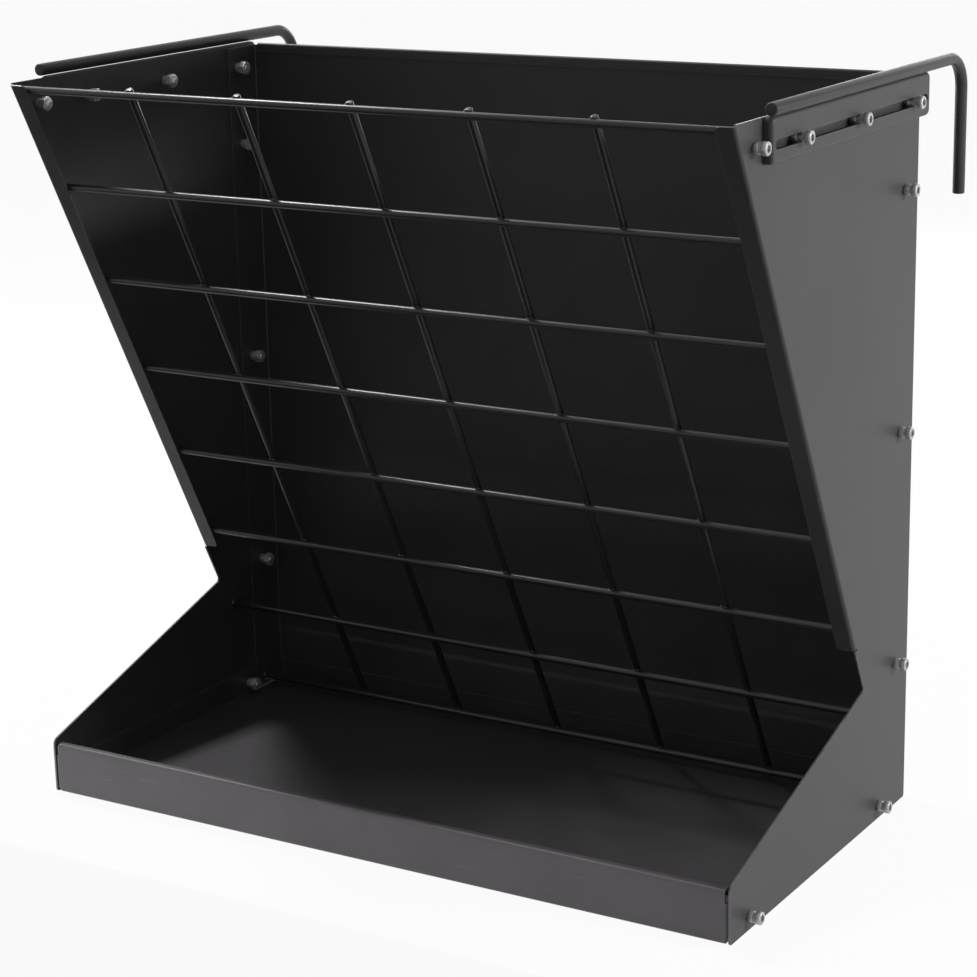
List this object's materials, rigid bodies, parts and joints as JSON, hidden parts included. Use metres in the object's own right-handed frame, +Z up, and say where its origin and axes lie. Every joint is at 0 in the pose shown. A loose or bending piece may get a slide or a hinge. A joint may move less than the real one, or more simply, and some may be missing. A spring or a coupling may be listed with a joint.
{
  "type": "hay feeder box",
  "caption": "Fence-hung hay feeder: folded steel hopper with a sloping wire grille over an open feed pan, and sliding rod hooks on both sides.",
  "frame": {"origin": "on the floor plane under the middle of the overall box, hooks included", "axes": "+Z up, +X across the feeder to the right as seen from the feeding side, +Y from the feeding side towards the fence"},
  "size_m": [0.6498, 0.3944, 0.5951],
  "materials": {
    "coated_sheet": "semi-gloss black powder coat",
    "coated_wire": "semi-gloss black powder coat",
    "coated_hook": "semi-gloss black powder coat",
    "zinc": "bright zinc plate"
  },
  "bodies": {
    "feeder": {"back_panel": "coated_sheet", "feed_pan": "coated_sheet", "side_panel_left": "coated_sheet", "side_panel_right": "coated_sheet", "top_rail": "coated_wire", "cross_wire_1": "coated_wire", "cross_wire_2": "coated_wire", "cross_wire_3": "coated_wire", "cross_wire_4": "coated_wire", "cross_wire_5": "coated_wire", "cross_wire_6": "coated_wire", "cross_wire_7": "coated_wire", "upright_wire_1": "coated_wire", "upright_wire_2": "coated_wire", "upright_wire_3": "coated_wire", "upright_wire_4": "coated_wire", "upright_wire_5": "coated_wire", "stop_screw_1_left": "zinc", "stop_nut_1_left": "zinc", "slot_screw_1_left": "zinc", "slot_nut_1_left": "zinc", "slot_screw_2_left": "zinc", "slot_nut_2_left": "zinc", "slot_screw_3_left": "zinc", "slot_nut_3_left": "zinc", "back_screw_1_left": "zinc", "back_nut_1_left": "zinc", "back_screw_2_left": "zinc", "back_nut_2_left": "zinc", "back_screw_3_left": "zinc", "back_nut_3_left": "zinc", "pan_screw_1_left": "zinc", "pan_nut_1_left": "zinc", "pan_screw_2_left": "zinc", "pan_nut_2_left": "zinc", "stop_screw_1_right": "zinc", "stop_nut_1_right": "zinc", "slot_screw_1_right": "zinc", "slot_nut_1_right": "zinc", "slot_screw_2_right": "zinc", "slot_nut_2_right": "zinc", "slot_screw_3_right": "zinc", "slot_nut_3_right": "zinc", "back_screw_1_right": "zinc", "back_nut_1_right": "zinc", "back_screw_2_right": "zinc", "back_nut_2_right": "zinc", "back_screw_3_right": "zinc", "back_nut_3_right": "zinc", "pan_screw_1_right": "zinc", "pan_nut_1_right": "zinc", "pan_screw_2_right": "zinc", "pan_nut_2_right": "zinc"},
    "hook_left": {"hook_bracket_left": "coated_hook", "hook_rod_left": "coated_hook"},
    "hook_right": {"hook_bracket_right": "coated_hook", "hook_rod_right": "coated_hook"}
  },
  "joints": [
    {"name": "hook_slide_left", "type": "slide", "parent": "feeder", "child": "hook_left", "axis": [0, 1, 0], "range_m": [-0.0065, 0.039]},
    {"name": "hook_slide_right", "type": "slide", "parent": "feeder", "child": "hook_right", "axis": [0, 1, 0], "range_m": [-0.0065, 0.039]}
  ]
}
